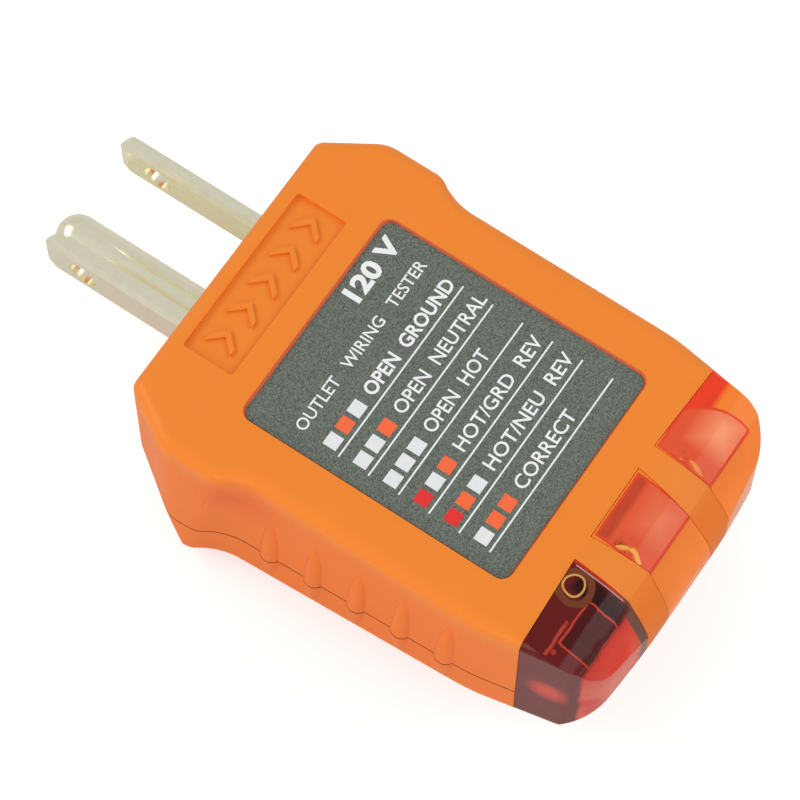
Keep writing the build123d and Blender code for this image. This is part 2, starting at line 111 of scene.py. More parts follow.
# Red lens
RED_SMOKE = Patch(-7.3, -54.0, 0.95, 3.4, 0.12)
RED_WINDOW = Patch(-13.4, -46.7, 6.4, 4.6, 0.18)
RED_SHADOW = Patch(-8.4, -48.4, 1.1, 2.6, 0.3)
RED_CUP = Patch(-11.8, -49.6, 2.5, 1.7, 0.1)
RED_ROD = Patch(-14.3, -47.4, 1.7, 0.17, 0.06)
# Painted highlight: a pale line along the window's inner edge
RED_EDGE_HIGHLIGHT = Patch(-7.35, -48.0, 0.05, 2.7, 0.03)
RED_BEADS = (
    Spot(-13.2, -48.6, -0.2, 0.34, 0.1),
    Spot(-14.4, -48.9, -0.2, 0.30, 0.1),
    Spot(-15.3, -48.0, -0.2, 0.38, 0.1),
    Spot(-12.4, -47.5, -0.2, 0.26, 0.1),
)
# Painted glint: a bright ring of reflected light on the lamp's glass tip
RED_RING_GLINT = Spot(-8.9, -46.0, -0.1, 1.05, 0.1)
RED_HALO = Spot(-9.0, -46.2, -0.1, 1.6, 0.1)
RED_BULB = Spot(-18.0, -48.6, -9.0, 2.3, 0.8)
CUP_LINE, RING_GLINT_LINE, HALO_LINE = 0.22, 0.2, 0.7
# Painted glow of the red lens
RED_GLOW = 0.12

# Rounded ends of the lenses: where their paler bands start and are full
BANDS_FROM, BANDS_FULL = -2.5, -9.0

# Tones of the marks in the lenses, painted light among them: a pale patch, glints and a highlight line
STRIP_TONE = (0.76, 0.052, 0.020, 1.0)
PEACH_LIGHT_TONE = (0.88, 0.36, 0.17, 1.0)
DEEP_AMBER_TONE = (0.44, 0.050, 0.022, 1.0)
WIRE_TONE = (0.22, 0.030, 0.012, 1.0)
AMBER_GLINT_TONE = (0.86, 0.50, 0.08, 1.0)
FRAME_TONE = (0.72, 0.070, 0.022, 1.0)
PALE_RED_TONE = (0.84, 0.150, 0.075, 1.0)
SMOKE_TONE = (0.19, 0.085, 0.055, 1.0)
SHADOW_TONE = (0.030, 0.003, 0.003, 1.0)
CUP_TONE = (0.085, 0.006, 0.006, 1.0)
BRIGHT_RED_TONE = (0.60, 0.050, 0.035, 1.0)
ROD_TONE = (0.52, 0.06, 0.04, 1.0)
HALO_TONE = (0.20, 0.055, 0.02, 1.0)
RING_GLINT_TONE = (0.78, 0.42, 0.10, 1.0)
BULB_TONE = (0.82, 0.07, 0.04, 1.0)
EDGE_HIGHLIGHT_TONE = (0.66, 0.48, 0.43, 1.0)

# Metals: colour, roughness, scale of the marks, and a squash that draws them out along the case below one
METALS = {
    "nickel_plate": ((0.93, 0.86, 0.64, 1.0), 0.2, 700.0, 0.12),
    "screw_steel": ((0.52, 0.52, 0.54, 1.0), 0.3, 900.0, 1.0),
    "tinned_wire": ((0.75, 0.74, 0.72, 1.0), 0.22, 900.0, 1.0),
    "brass_strip": ((0.78, 0.56, 0.24, 1.0), 0.25, 800.0, 0.2),
    "electrode_wire": ((0.62, 0.56, 0.46, 1.0), 0.3, 900.0, 1.0),
}
RESISTOR_BODY = (0.62, 0.44, 0.25, 1.0)
RESISTOR_BANDS = (
    (0.35, 0.02, 0.02, 1.0),
    (0.40, 0.13, 0.00, 1.0),
    (0.25, 0.13, 0.00, 1.0),
    (0.70, 0.50, 0.10, 1.0),
)

# Camera: its place from the middle of the prong face's top edge, and its turns in degrees
CAMERA_FROM = Vector((-122.26, -100.52, 347.28)) * MM
CAMERA_TURNS = (22.3538, -0.3261, -55.9658)
CAMERA_LENS = 176.7

# Lights: name, place in metres, size in metres, power in watts and colour
WHITE = (1.0, 1.0, 1.0)
LIGHTS = (
    ("prong_side", (-0.30, 0.95, 0.80), (0.9, 0.6), 5.0, WHITE),
    ("light_side", (0.75, -0.75, 0.80), (0.8, 0.8), 4.0, WHITE),
    ("grip_side", (-1.0, -0.25, 0.30), (0.5, 0.7), 3.8, (1.0, 0.80, 0.60)),
)
SKY_STRENGTH = 0.62
FLOOR_GLOW = 0.55

# Printed legend, in millimetres on the label. Each row: caption, its length, and the colours of its lights
LEGEND_ROWS = (
    ("OPEN  GROUND", 14.2, "WOW"),
    ("OPEN  NEUTRAL", 14.6, "WWO"),
    ("OPEN  HOT", 9.9, "WWW"),
    ("HOT/GRD  REV", 13.9, "RWO"),
    ("HOT/NEU  REV", 14.1, "ROW"),
    ("CORRECT", 9.3, "WOO"),
)
CAP_HEIGHT = 0.682
ROW_FIRST = 10.1
ROW_PITCH = 3.45
RULE_LEFT, RULE_RIGHT = -10.8, 10.65
SQUARE_INSET = 0.3
SQUARE_PITCH = 2.02
SQUARE_LIFT = 0.55
SQUARE_CORNER = 0.08
CAPTION_INSET = 6.95
CAPTION_LIFT = 0.7
TITLE = "OUTLET   WIRING   TESTER"
TITLE_INSET, TITLE_LIFT = 0.2, 4.1
TITLE_HEIGHT, TITLE_LENGTH = 1.22, 21.1
HEADING = "120 V"
HEADING_X, HEADING_DOWN, HEADING_LENGTH = 2.9, 2.7, 7.6
# How far a stroke's edge is moved out, from the lightest words to the heaviest
TITLE_WEIGHT, CAPTION_WEIGHT, FIRST_CAPTION_WEIGHT, HEADING_WEIGHT = 0.012, 0.02, 0.05, 0.11


class TesterSizes(bpy.types.PropertyGroup):
    """Sizes of the printed legend."""

    ink_height: FloatProperty(
        name="Ink height", description="How far the ink stands above the label",
        default=0.02 * MM, unit="LENGTH", precision=5)
    square: FloatProperty(
        name="Square", description="Side of one printed light square",
        default=1.5 * MM, unit="LENGTH", precision=5)
    rule_width: FloatProperty(
        name="Rule width", description="Width of the line under a row",
        default=0.17 * MM, unit="LENGTH", precision=5)
    row_text: FloatProperty(
        name="Row text", description="Height of a row's capitals",
        default=1.4 * MM, unit="LENGTH", precision=5)
    heading_text: FloatProperty(
        name="Heading text", description="Height of the heading's capitals",
        default=1.9 * MM, unit="LENGTH", precision=5)


class TesterColours(bpy.types.PropertyGroup):
    """Colours that a user would change."""

    case: FloatVectorProperty(
        name="Case", description="Moulded case colour", subtype="COLOR", size=4,
        default=(0.875, 0.245, 0.024, 1.0))
    label: FloatVectorProperty(
        name="Label", description="Ground colour of the label", subtype="COLOR", size=4,
        default=(0.106, 0.128, 0.105, 1.0))
    red_window: FloatVectorProperty(
        name="Red window", description="Tint of the red lens's flat window", subtype="COLOR", size=4,
        default=(0.15, 0.009, 0.008, 1.0))
    red_end: FloatVectorProperty(
        name="Red end", description="Tint of the red lens over the rounded end", subtype="COLOR", size=4,
        default=(0.76, 0.040, 0.024, 1.0))
    amber_window: FloatVectorProperty(
        name="Amber window", description="Tint of the amber lenses' flat windows", subtype="COLOR", size=4,
        default=(0.74, 0.108, 0.042, 1.0))
    amber_end: FloatVectorProperty(
        name="Amber end", description="Tint of the amber lenses' rounded end", subtype="COLOR", size=4,
        default=(0.85, 0.250, 0.034, 1.0))
    floor: FloatVectorProperty(
        name="Floor", description="Studio floor colour", subtype="COLOR", size=4,
        default=(0.68, 0.68, 0.68, 1.0))


# ---------------------------------------------------------------- materials

def new_group(name, inputs, outputs):
    """Empty shader group with (name, kind, default) inputs and (name, kind) outputs."""
    group = bpy.data.node_groups.new(name, "ShaderNodeTree")
    for label, kind, default in inputs:
        socket = group.interface.new_socket(label, in_out="INPUT", socket_type=kind)
        if default is not None:
            socket.default_value = default
    for label, kind in outputs:
        group.interface.new_socket(label, in_out="OUTPUT", socket_type=kind)
    source = group.nodes.new("NodeGroupInput")
    sink = group.nodes.new("NodeGroupOutput")
    return group, source, sink


def add(tree, kind, **values):
    """New node with these attributes."""
    node = tree.nodes.new(kind)
    for name, value in values.items():
        setattr(node, name, value)
    return node


def link(tree, a, b):
    """Link from output socket a to input socket b."""
    tree.links.new(a, b)


def noise(tree, vector, scale, detail=3.0, rough=0.55):
    """Noise value over a surface, with scale in waves per metre."""
    node = add(tree, "ShaderNodeTexNoise")
    node.inputs["Scale"].default_value = scale
    node.inputs["Detail"].default_value = detail
    node.inputs["Roughness"].default_value = rough
    link(tree, vector, node.inputs["Vector"])
    return node.outputs["Fac"]


def ramp(tree, value, low, high, out_low=0.0, out_high=1.0):
    """Value moved from one range to another, held at its ends."""
    node = add(tree, "ShaderNodeMapRange")
    node.inputs["From Min"].default_value = low
    node.inputs["From Max"].default_value = high
    node.inputs["To Min"].default_value = out_low
    node.inputs["To Max"].default_value = out_high
    link(tree, value, node.inputs["Value"])
    return node.outputs["Result"]


def moulded_grain_group():
    """Fine spark-eroded grain with slow tone drift, for moulded plastic."""
    group, source, sink = new_group(
        "moulded_grain",
        [("Vector", "NodeSocketVector", None), ("Grain Scale", "NodeSocketFloat", 2600.0),
         ("Base Roughness", "NodeSocketFloat", 0.42)],
        [("Height", "NodeSocketFloat"), ("Roughness", "NodeSocketFloat"), ("Tone", "NodeSocketFloat")])
    fine = add(group, "ShaderNodeTexNoise")
    fine.inputs["Detail"].default_value = 2.0
    link(group, source.outputs["Vector"], fine.inputs["Vector"])
    link(group, source.outputs["Grain Scale"], fine.inputs["Scale"])
    drift = noise(group, source.outputs["Vector"], 90.0, 2.0)
    swing = ramp(group, fine.outputs["Fac"], 0.3, 0.7, -0.05, 0.05)
    rough = add(group, "ShaderNodeMath", operation="ADD")
    link(group, source.outputs["Base Roughness"], rough.inputs[0])
    link(group, swing, rough.inputs[1])
    link(group, fine.outputs["Fac"], sink.inputs["Height"])
    link(group, rough.outputs[0], sink.inputs["Roughness"])
    link(group, drift, sink.inputs["Tone"])
    return group


def edge_wear_group():
    """Mask that is high on outward edges, from the surface's own pointiness."""
    group, source, sink = new_group(
        "edge_wear",
        [("Vector", "NodeSocketVector", None), ("Low", "NodeSocketFloat", 0.505),
         ("High", "NodeSocketFloat", 0.56)],
        [("Mask", "NodeSocketFloat")])
    geometry = add(group, "ShaderNodeNewGeometry")
    node = add(group, "ShaderNodeMapRange")
    link(group, geometry.outputs["Pointiness"], node.inputs["Value"])
    link(group, source.outputs["Low"], node.inputs["From Min"])
    link(group, source.outputs["High"], node.inputs["From Max"])
    speckle = noise(group, source.outputs["Vector"], 900.0, 2.0)
    product = add(group, "ShaderNodeMath", operation="MULTIPLY")
    link(group, node.outputs["Result"], product.inputs[0])
    link(group, speckle, product.inputs[1])
    link(group, product.outputs[0], sink.inputs["Mask"])
    return group


def start_material(name):
    """New node material: returns the material, its tree, its Principled shader and Object coordinates."""
    material = bpy.data.materials.new(name)
    material.use_nodes = True
    tree = material.node_tree
    shader = tree.nodes["Principled BSDF"]
    place = add(tree, "ShaderNodeTexCoord").outputs["Object"]
    return material, tree, shader, place


def bump(tree, shader, height, distance, strength=1.0):
    """Relief of this distance in metres on a material's shader."""
    node = add(tree, "ShaderNodeBump")
    node.inputs["Distance"].default_value = distance
    node.inputs["Strength"].default_value = strength
    link(tree, height, node.inputs["Height"])
    link(tree, node.outputs["Normal"], shader.inputs["Normal"])


def two_tone(tree, factor, dark, light):
    """Colour that goes from dark to light with factor."""
    node = add(tree, "ShaderNodeMix", data_type="RGBA")
    node.inputs["A"].default_value = dark
    node.inputs["B"].default_value = light
    link(tree, factor, node.inputs["Factor"])
    return node.outputs["Result"]


def shade(colour, gain):
    """Opaque colour made lighter or darker by gain."""
    return tuple(min(1.0, c * gain) for c in colour[:3]) + (1.0,)


def math_node(tree, operation, a, b):
    """Result of one maths operation on a socket and a number or a second socket."""
    node = add(tree, "ShaderNodeMath", operation=operation)
    for value, socket in zip((a, b), node.inputs):
        if isinstance(value, (int, float)):
            socket.default_value = value
        else:
            link(tree, value, socket)
    return node.outputs[0]


def height_ramp(tree, place, low, high, out_low=0.0, out_high=1.0):
    """Value that changes between two heights in millimetres from the label face."""
    split = add(tree, "ShaderNodeSeparateXYZ")
    link(tree, place, split.inputs["Vector"])
    return ramp(tree, split.outputs["Z"], FACE_Z + low * MM, FACE_Z + high * MM, out_low, out_high)


def square_mark_group():
    """How far a place is outside an upright square mark; less than nothing inside it."""
    group, source, sink = new_group(
        "square_mark",
        [("Vector", "NodeSocketVector", None), ("Middle X", "NodeSocketFloat", 0.0),
         ("Half X", "NodeSocketFloat", 0.0), ("Middle Y", "NodeSocketFloat", 0.0),
         ("Half Y", "NodeSocketFloat", 0.0)],
        [("Outside", "NodeSocketFloat")])
    split = add(group, "ShaderNodeSeparateXYZ")
    link(group, source.outputs["Vector"], split.inputs["Vector"])
    reach = []
    for axis in ("X", "Y"):
        away = math_node(group, "SUBTRACT", split.outputs[axis], source.outputs["Middle " + axis])
        away = math_node(group, "ABSOLUTE", away, 0.0)
        reach.append(math_node(group, "SUBTRACT", away, source.outputs["Half " + axis]))
    link(group, math_node(group, "MAXIMUM", reach[0], reach[1]), sink.inputs["Outside"])


def round_mark_group():
    """How far a place is outside a round mark; less than nothing inside it."""
    group, source, sink = new_group(
        "round_mark",
        [("Vector", "NodeSocketVector", None), ("Middle", "NodeSocketVector", None),
         ("Radius", "NodeSocketFloat", 0.0)],
        [("Outside", "NodeSocketFloat")])
    node = add(group, "ShaderNodeVectorMath", operation="DISTANCE")
    link(group, source.outputs["Vector"], node.inputs[0])
    link(group, source.outputs["Middle"], node.inputs[1])
    outside = math_node(group, "SUBTRACT", node.outputs["Value"], source.outputs["Radius"])
    link(group, outside, sink.inputs["Outside"])


def off_mark(tree, place, mark, shift=0.0):
    """Distance outside a Patch or a Spot that is moved along x by shift."""
    x, y = (mark.x + shift) * MM, PRONG_Y + mark.y * MM
    square = isinstance(mark, Patch)
    node = add(tree, "ShaderNodeGroup")
    node.node_tree = bpy.data.node_groups["square_mark" if square else "round_mark"]
    link(tree, place, node.inputs["Vector"])
    if square:
        values = {"Middle X": x, "Half X": mark.half_x * MM, "Middle Y": y, "Half Y": mark.half_y * MM}
    else:
        values = {"Middle": (x, y, FACE_Z + mark.z * MM), "Radius": mark.radius * MM}
    for name, value in values.items():
        node.inputs[name].default_value = value
    return node.outputs["Outside"]


def mark_mask(tree, place, mark, shift=0.0):
    """Mask that is one inside a Patch or a Spot."""
    return inside(tree, off_mark(tree, place, mark, shift), mark.soft)


def inside(tree, distance, soft):
    """Mask that is one inside a shape, with a soft border in millimetres."""
    return ramp(tree, distance, -soft * MM, soft * MM, 1.0, 0.0)


def outline(tree, distance, width):
    """Mask that is one on a shape's border, with this width in millimetres."""
    away = math_node(tree, "ABSOLUTE", distance, 0.0)
    return ramp(tree, away, width * 0.4 * MM, width * 0.6 * MM, 1.0, 0.0)


def lay(tree, under, mask, colour, within=None, strength=1.0):
    """A colour laid over another where the mask is high, held inside a second mask and to a strength."""
    if within is not None:
        mask = math_node(tree, "MULTIPLY", mask, within)
    if strength < 1.0:
        mask = math_node(tree, "MULTIPLY", mask, strength)
    node = add(tree, "ShaderNodeMix", data_type="RGBA")
    link(tree, mask, node.inputs["Factor"])
    link(tree, under, node.inputs["A"])
    node.inputs["B"].default_value = colour
    return node.outputs["Result"]


def wavy(tree, place, size):
    """Object coordinates pushed about by a slow noise, as seen through moulded plastic."""
    drift = add(tree, "ShaderNodeTexNoise")
    drift.inputs["Scale"].default_value = 420.0
    link(tree, place, drift.inputs["Vector"])
    push = add(tree, "ShaderNodeVectorMath", operation="MULTIPLY_ADD")
    link(tree, drift.outputs["Color"], push.inputs[0])
    push.inputs[1].default_value = (size * MM,) * 3
    link(tree, place, push.inputs[2])
    return push.outputs["Vector"]


def off_seam(tree, place):
    """Height over the seam between the shells, which climbs steeply beside the prongs."""
    split = add(tree, "ShaderNodeSeparateXYZ")
    link(tree, place, split.inputs["Vector"])
    along = math_node(tree, "SUBTRACT", split.outputs["Y"], PRONG_Y + SEAM_BEND_Y * MM)
    slow = math_node(tree, "MULTIPLY", math_node(tree, "MINIMUM", along, 0.0), -SEAM_SLOPE)
    steep = math_node(tree, "MULTIPLY", math_node(tree, "MAXIMUM", along, 0.0), SEAM_RISE)
    rise = math_node(tree, "ADD", slow, steep)
    over_bend = math_node(tree, "SUBTRACT", split.outputs["Z"], FACE_Z + SEAM_BEND_Z * MM)
    return math_node(tree, "SUBTRACT", over_bend, rise)


def shell_tones(tree, place, tone):
    """The case's tone with painted shade in the shoulders, painted light on the lip of the label recess and
    the dark seam line.
    """
    # Painted shade in the hollows of both shoulders.
    for shoulder_shade in (SHOULDER_SHADE._replace(x=-SHOULDER_SHADE.x), SHOULDER_SHADE):
        tone = lay(tree, tone, mark_mask(tree, place, shoulder_shade), SHOULDER_SHADE_TONE, strength=0.8)
    # Painted light on the wall of the label recess, from just under the face down to the recess floor.
    under_face = height_ramp(tree, place, LIP_FULL, LIP_TOP, 1.0, 0.0)
    over_foot = height_ramp(tree, place, LIP_END, LIP_FOOT)
    depth = math_node(tree, "MULTIPLY", under_face, over_foot)
    tone = lay(tree, tone, mark_mask(tree, place, LABEL_RECESS), LIT_LIP_TONE, within=depth)
    return lay(tree, tone, outline(tree, off_seam(tree, place), SEAM_LINE), SEAM_TONE)


def case_plastic(name, grain, colour, shell):
    """Moulded case plastic, with painted shade deepening its side walls; a shell also has painted shade on
    its shoulders, painted light on its lip and a seam line.
    """
    material, tree, shader, place = start_material(name)
    group = add(tree, "ShaderNodeGroup", node_tree=grain)
    link(tree, place, group.inputs["Vector"])
    group.inputs["Grain Scale"].default_value = 3200.0
    group.inputs["Base Roughness"].default_value = 0.40
    tone = two_tone(tree, group.outputs["Tone"], shade(colour, 0.96), shade(colour, 1.04))
    # Painted shade: the side walls turn deeper and redder below the label face.
    tone = lay(tree, tone, height_ramp(tree, place, SIDE_SHADE_FULL, SIDE_SHADE_FROM, 1.0, 0.0), SIDE_SHADE_TONE)
    if shell:
        tone = shell_tones(tree, place, tone)
    link(tree, tone, shader.inputs["Base Color"])
    link(tree, group.outputs["Roughness"], shader.inputs["Roughness"])
    bump(tree, shader, group.outputs["Height"], 0.012 * MM, 0.6)
    shader.inputs["Specular IOR Level"].default_value = 0.28
    shader.inputs["Subsurface Weight"].default_value = 0.12
    shader.inputs["Subsurface Radius"].default_value = (2.2 * MM, 0.8 * MM, 0.2 * MM)
    shader.inputs["Subsurface Scale"].default_value = 1.0
    return material


def label_ground(colour):
    """Dark printed film: a fine two-tone speckle under a satin surface."""
    material, tree, shader, place = start_material("label_film")
    speckle = noise(tree, place, 7000.0, 2.0, 0.7)
    spots = ramp(tree, speckle, 0.36, 0.64)
    tone = two_tone(tree, spots, shade(colour, 0.5), shade(colour, 1.7))
    link(tree, tone, shader.inputs["Base Color"])
    shader.inputs["Roughness"].default_value = 0.55
    bump(tree, shader, speckle, 0.008 * MM, 0.5)
    return material


def ink(name, colour):
    """Screen ink with slightly uneven cover."""
    material, tree, shader, place = start_material(name)
    cover = noise(tree, place, 1500.0, 3.0)
    tone = two_tone(tree, cover, shade(colour, 0.9), shade(colour, 1.06))
    link(tree, tone, shader.inputs["Base Color"])
    shader.inputs["Roughness"].default_value = 0.5
    return material


def start_lens(name, end, pale_end, clearness):
    """Tinted clear plastic with paler bands low on its rounded end, ready for its window's marks."""
    material, tree, shader, place = start_material(name)
    low = height_ramp(tree, place, BANDS_FULL, BANDS_FROM, 1.0, 0.0)
    bands = math_node(tree, "MULTIPLY", low, ramp(tree, noise(tree, place, 260.0, 1.0), 0.35, 0.6))
    tone = two_tone(tree, bands, end, pale_end)
    shader.inputs["Roughness"].default_value = 0.06
    shader.inputs["Specular IOR Level"].default_value = 0.3
    shader.inputs["Transmission Weight"].default_value = clearness
    shader.inputs["IOR"].default_value = 1.32
    wave = noise(tree, place, 300.0, 1.0)
    bump(tree, shader, wave, 0.05 * MM, 0.3)
    return material, tree, shader, place, tone


def finish_lens(tree, shader, tone, glow):
    """Gives the lens its tone, and makes a little of it glow as painted light from the lens itself."""
    link(tree, tone, shader.inputs["Base Color"])
    link(tree, tone, shader.inputs["Emission Color"])
    shader.inputs["Emission Strength"].default_value = glow


def amber_lens(name, x, round_corner, window, end):
    """Amber lens on this middle line: a window with a redder frame, a painted pale patch of light, a deep
    edge, a wire and a lamp glint.

    With a round corner, the window is cut round on its outer side and a red strip runs beside it.
    """
    material, tree, shader, place, tone = start_lens(name, end, shade(end, 1.12), 0.3)
    seen = wavy(tree, place, 0.9)
    square = off_mark(tree, place, AMBER_WINDOW, x)
    deep_strength, light_pool_strength, wire_strength, glint_strength = 0.75, 0.35, 0.8, 0.95
    if round_corner:
        square = math_node(tree, "MAXIMUM", square, off_mark(tree, place, AMBER_ROUND, x))
        near_face = height_ramp(tree, place, STRIP_END, STRIP_FULL)
        tone = lay(tree, tone, mark_mask(tree, place, AMBER_STRIP, x), STRIP_TONE, within=near_face)
        deep_strength, light_pool_strength, wire_strength, glint_strength = 0.15, 0.9, 0.35, 0.5
    glass = inside(tree, square, AMBER_WINDOW.soft)
    tone = lay(tree, tone, glass, window)
    # Painted light: a soft pale patch in the window.
    tone = lay(tree, tone, mark_mask(tree, place, AMBER_LIGHT_POOL, x), PEACH_LIGHT_TONE, glass, light_pool_strength)
    tone = lay(tree, tone, mark_mask(tree, place, AMBER_DEEP, x), DEEP_AMBER_TONE, glass, deep_strength)
    specks = ramp(tree, noise(tree, seen, 1700.0, 3.0, 0.7), 0.52, 0.60)
    wires = math_node(tree, "MULTIPLY", mark_mask(tree, seen, AMBER_WIRES, x), specks)
    tone = lay(tree, tone, wires, WIRE_TONE, glass, wire_strength)
    glint = outline(tree, off_mark(tree, seen, AMBER_GLINT, x), AMBER_GLINT.soft)
    glint = math_node(tree, "MULTIPLY", glint, ramp(tree, noise(tree, seen, 900.0, 2.0), 0.42, 0.55))
    tone = lay(tree, tone, glint, AMBER_GLINT_TONE, glass, glint_strength)
    tone = lay(tree, tone, outline(tree, square, AMBER_FRAME_LINE), FRAME_TONE)
    finish_lens(tree, shader, tone, AMBER_GLOW)
    return material


def red_lens(name, window, end):
    """Red lens: a deep window with the lit lamp's outlines, a painted glint ring and a painted highlight
    line in it, and a bright rounded end.
    """
    material, tree, shader, place, tone = start_lens(name, end, PALE_RED_TONE, 0.35)
    seen = wavy(tree, place, 0.5)
    tone = lay(tree, tone, mark_mask(tree, place, RED_SMOKE), SMOKE_TONE)
    glass = mark_mask(tree, seen, RED_WINDOW)
    tone = lay(tree, tone, glass, window)
    tone = lay(tree, tone, mark_mask(tree, seen, RED_SHADOW), SHADOW_TONE, glass)
    cup = off_mark(tree, seen, RED_CUP)
    tone = lay(tree, tone, inside(tree, cup, RED_CUP.soft), CUP_TONE, glass)
    tone = lay(tree, tone, outline(tree, cup, CUP_LINE), BRIGHT_RED_TONE, glass)
    tone = lay(tree, tone, mark_mask(tree, seen, RED_ROD), ROD_TONE)
    for bead in RED_BEADS:
        tone = lay(tree, tone, mark_mask(tree, seen, bead), BRIGHT_RED_TONE)
    tone = lay(tree, tone, outline(tree, off_mark(tree, seen, RED_HALO), HALO_LINE), HALO_TONE, glass)
    # Painted glint: a bright ring of reflected light on the lamp's glass tip.
    tone = lay(tree, tone, outline(tree, off_mark(tree, seen, RED_RING_GLINT), RING_GLINT_LINE), RING_GLINT_TONE)
    tone = lay(tree, tone, mark_mask(tree, seen, RED_BULB), BULB_TONE)
    # Painted highlight: a pale line along the window's inner edge.
    tone = lay(tree, tone, mark_mask(tree, place, RED_EDGE_HIGHLIGHT), EDGE_HIGHLIGHT_TONE)
    finish_lens(tree, shader, tone, RED_GLOW)
    return material


def lamp_glass():
    """Clear blown glass with a slight wave."""
    material, tree, shader, place = start_material("lamp_glass")
    wave = noise(tree, place, 500.0, 2.0)
    bump(tree, shader, wave, 0.03 * MM, 0.4)
    shader.inputs["Base Color"].default_value = (0.97, 0.97, 0.95, 1.0)
    shader.inputs["Roughness"].default_value = 0.02
    shader.inputs["Transmission Weight"].default_value = 1.0
    shader.inputs["IOR"].default_value = 1.5
    return material


def metal(name, wear, colour, roughness, streak_scale, squash):
    """Metal with fine marks drawn out along Y and brighter worn edges."""
    material, tree, shader, place = start_material(name)
    stretch = add(tree, "ShaderNodeMapping")
    stretch.inputs["Scale"].default_value = (1.0, squash, 1.0)
    link(tree, place, stretch.inputs["Vector"])
    streaks = noise(tree, stretch.outputs["Vector"], streak_scale, 3.0)
    rough = ramp(tree, streaks, 0.3, 0.7, roughness * 0.75, roughness * 1.35)
    link(tree, rough, shader.inputs["Roughness"])
    group = add(tree, "ShaderNodeGroup", node_tree=wear)
    link(tree, place, group.inputs["Vector"])
    tone = two_tone(tree, group.outputs["Mask"], colour, shade(colour, 1.25))
    link(tree, tone, shader.inputs["Base Color"])
    shader.inputs["Metallic"].default_value = 1.0
    bump(tree, shader, streaks, 0.01 * MM, 0.35)
    return material


def board_laminate(grain):
    """Brown paper laminate with a slow change of tone."""
    material, tree, shader, place = start_material("board_laminate")
    group = add(tree, "ShaderNodeGroup", node_tree=grain)
    link(tree, place, group.inputs["Vector"])
    group.inputs["Grain Scale"].default_value = 1800.0
    group.inputs["Base Roughness"].default_value = 0.5
    tone = two_tone(tree, group.outputs["Tone"], (0.30, 0.17, 0.06, 1.0), (0.42, 0.26, 0.10, 1.0))
    link(tree, tone, shader.inputs["Base Color"])
    link(tree, group.outputs["Roughness"], shader.inputs["Roughness"])
    return material


def resistor_coat():
    """Tan moulded coat with colour bands across its length."""
    material, tree, shader, place = start_material("resistor_coat")
    split = add(tree, "ShaderNodeSeparateXYZ")
    link(tree, place, split.inputs["Vector"])
    colours = add(tree, "ShaderNodeValToRGB")
    low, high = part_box("resistor_1")
    link(tree, ramp(tree, split.outputs["Y"], low.y, high.y), colours.inputs["Fac"])
    colours.color_ramp.interpolation = "CONSTANT"
    first, second = colours.color_ramp.elements
    first.color = RESISTOR_BODY
    second.position, second.color = 0.12, RESISTOR_BANDS[0]
    band_width = 0.07
    stops = [(0.2, RESISTOR_BODY)]
    for start, band in zip((0.36, 0.52, 0.72), RESISTOR_BANDS[1:]):
        stops += [(start, band), (start + band_width, RESISTOR_BODY)]
    for position, colour in stops:
        colours.color_ramp.elements.new(position).color = colour
    link(tree, colours.outputs["Color"], shader.inputs["Base Color"])
    shader.inputs["Roughness"].default_value = 0.35
    return material


def paint(node, material):
    """Gives a CAD node one material."""
    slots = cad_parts[node].data.materials
    slots.clear()
    slots.append(material)


class TESTER_OT_finishes(bpy.types.Operator):
    """Give every CAD piece its finish"""

    bl_idname = "tester.finishes"
    bl_label = "Finishes"

    def execute(self, context):
        colours = context.scene.tester_colours
        grain = moulded_grain_group()
        wear = edge_wear_group()
        square_mark_group()
        round_mark_group()
        case = case_plastic("orange_case", grain, colours.case, shell=True)
        carrier = case_plastic("orange_carrier", grain, colours.case, shell=False)
        metals = {name: metal(name, wear, *values) for name, values in METALS.items()}
        nickel, tin = metals["nickel_plate"], metals["tinned_wire"]
        windows = colours.amber_window, colours.amber_end
        middle = amber_lens("middle_amber", MIDDLE_AMBER_X, False, *windows)
        side = amber_lens("side_amber", SIDE_AMBER_X, True, *windows)
        red = red_lens("red_plastic", colours.red_window, colours.red_end)
        glass = lamp_glass()
        coat = resistor_coat()
        finish_of = {
            "front_shell": case, "back_shell": case, "prong_carrier": carrier,
            "face_label": label_ground(colours.label),
            "red_lens": red, "middle_amber_lens": middle, "side_amber_lens": side,
            "neutral_blade": nickel, "hot_blade": nickel, "ground_pin": nickel,
            "ground_tab": metals["brass_strip"], "circuit_board": board_laminate(grain),
            "resistor_leads": tin, "solder_joints": tin, "housing_screws": metals["screw_steel"],
        }
        for name in ("red", "middle", "side"):
            finish_of[name + "_lamp_glass"] = glass
            finish_of[name + "_lamp_electrodes"] = metals["electrode_wire"]
        for number in (1, 2, 3):
            finish_of[f"resistor_{number}"] = coat
        missing = set(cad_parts) - set(finish_of)
        if missing:
            raise RuntimeError(f"no finish for {sorted(missing)}")
        for node, material in finish_of.items():
            paint(node, material)
        return {"FINISHED"}


# ---------------------------------------------------------------- printed legend

def only(obj):
    """Makes obj the only selected and active object."""
    bpy.ops.object.select_all(action="DESELECT")
    obj.select_set(True)
    bpy.context.view_layer.objects.active = obj


def apply_place(obj):
    """Moves the object's place into its mesh."""
    only(obj)
    bpy.ops.object.transform_apply(location=True, rotation=True, scale=True)


def join(parts, name):
    """Joins mesh objects into one with this name."""
    bpy.ops.object.select_all(action="DESELECT")
    for part in parts:
        part.select_set(True)
    bpy.context.view_layer.objects.active = parts[0]
    bpy.ops.object.join()
    joined = bpy.context.view_layer.objects.active
    joined.name = name
    joined.data.name = name
    return joined


def label_point(x, down, z=0.0):
    """Point on the label, x from its middle and down from its top edge."""
    middle = (LABEL_LOW.x + LABEL_HIGH.x) / 2
    return Vector((middle + x, LABEL_HIGH.y - down, LABEL_HIGH.z + z))


